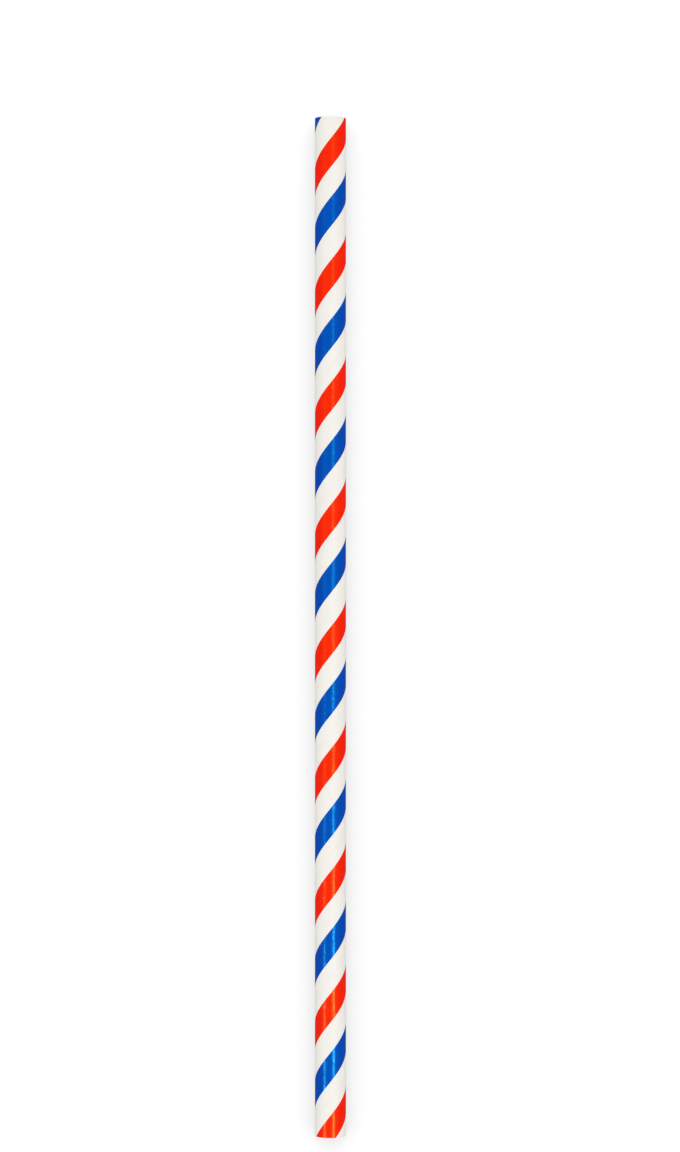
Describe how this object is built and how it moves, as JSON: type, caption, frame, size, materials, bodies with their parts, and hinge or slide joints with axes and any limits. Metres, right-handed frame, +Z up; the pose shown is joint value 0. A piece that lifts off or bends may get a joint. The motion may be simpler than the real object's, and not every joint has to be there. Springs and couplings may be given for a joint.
{
  "type": "paper drinking straw",
  "caption": "Straight round drinking straw wound from paper tape, open at both ends, with helical red and blue stripes on white.",
  "frame": {"origin": "on the table under the middle of the straw, which lies on its side", "axes": "+Y along the straw to its upper end in the picture, +Z up, +X to the right in the picture"},
  "size_m": [0.006, 0.197, 0.0059],
  "materials": {
    "printed_paper": "matte"
  },
  "bodies": {
    "root": {"paper_tube": "printed_paper"}
  },
  "joints": []
}
